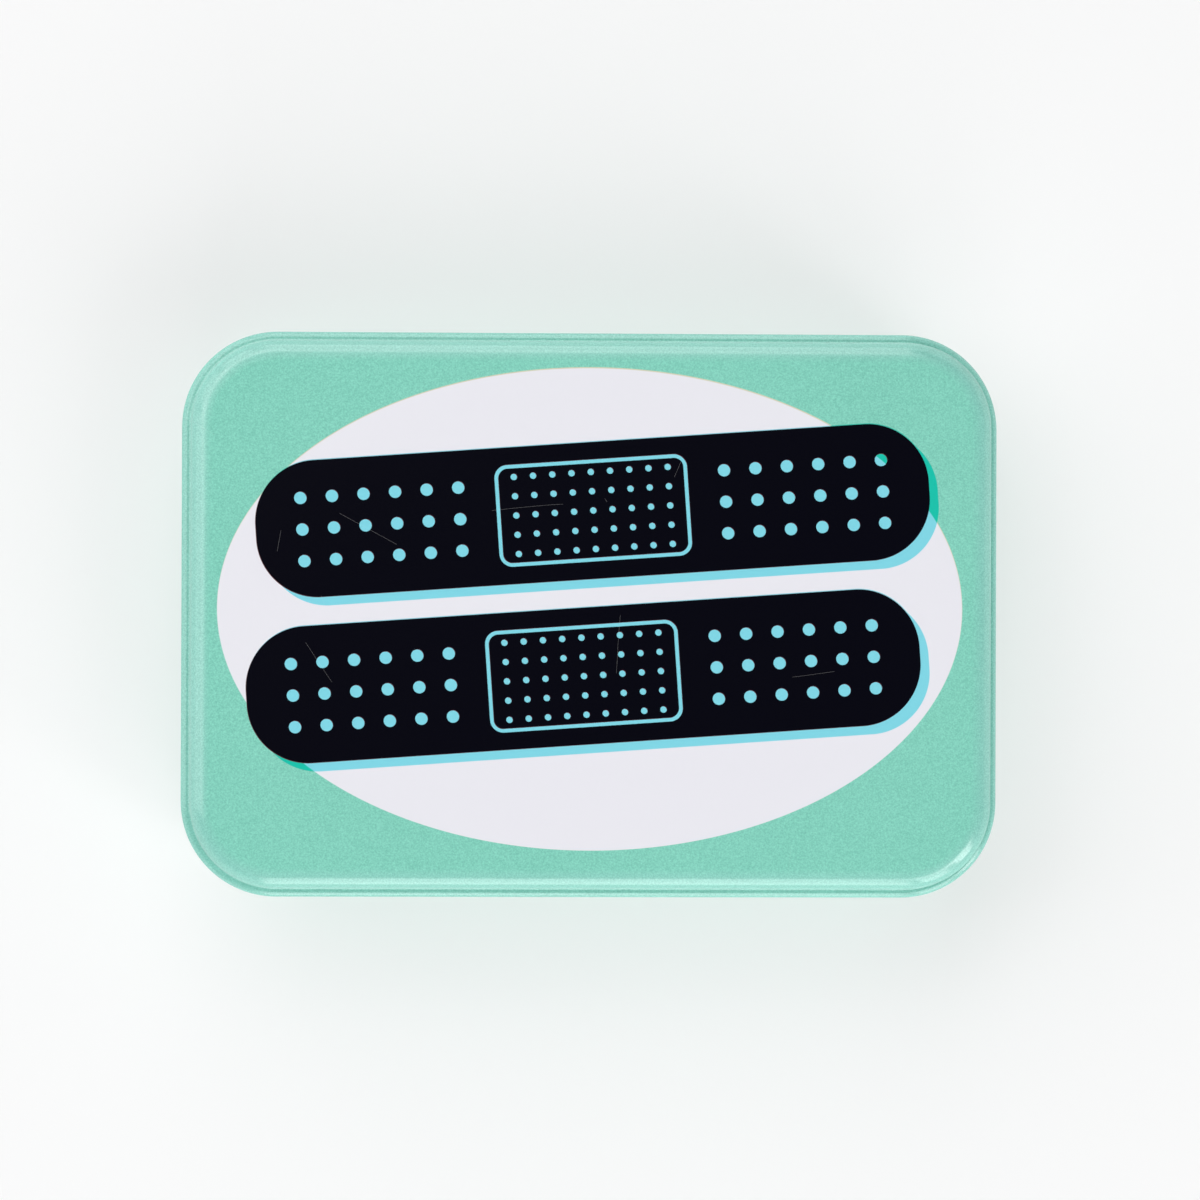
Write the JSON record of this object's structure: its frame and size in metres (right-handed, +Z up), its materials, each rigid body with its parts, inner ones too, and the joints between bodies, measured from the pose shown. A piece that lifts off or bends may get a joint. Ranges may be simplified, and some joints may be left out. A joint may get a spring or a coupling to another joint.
{
  "type": "plaster tin",
  "caption": "Shallow rectangular hinged metal tin with rounded corners, a beaded lid that swings back on wire pins at the rear, and wrapped sticking plasters stacked inside.",
  "frame": {"origin": "on the surface that the tin stands on, under the middle of the tin", "axes": "+X along the tin to the right, +Y towards the hinge at the rear, +Z up"},
  "size_m": [0.094, 0.065, 0.021],
  "materials": {
    "lid_print": "satin-gloss mint print over tinplate",
    "base_enamel": "satin-gloss mint enamel over tinplate",
    "pin_steel": "drawn bright wire",
    "wrapper_paper": "matt coated paper"
  },
  "bodies": {
    "tin_base": {"base": "base_enamel", "hinge_pin_left": "pin_steel", "hinge_pin_right": "pin_steel", "plaster_front_1": "wrapper_paper", "plaster_front_2": "wrapper_paper", "plaster_front_3": "wrapper_paper", "plaster_front_4": "wrapper_paper", "plaster_front_5": "wrapper_paper", "plaster_front_6": "wrapper_paper", "plaster_front_7": "wrapper_paper", "plaster_front_8": "wrapper_paper", "plaster_rear_1": "wrapper_paper", "plaster_rear_2": "wrapper_paper", "plaster_rear_3": "wrapper_paper", "plaster_rear_4": "wrapper_paper", "plaster_rear_5": "wrapper_paper", "plaster_rear_6": "wrapper_paper", "plaster_rear_7": "wrapper_paper", "plaster_rear_8": "wrapper_paper"},
    "tin_lid": {"lid": "lid_print"}
  },
  "joints": [
    {"name": "lid_hinge", "type": "hinge", "parent": "tin_base", "child": "tin_lid", "pos_m": [0, 0.0296, 0.01107], "axis": [-1, 0, 0], "range_deg": [0, 110]}
  ]
}
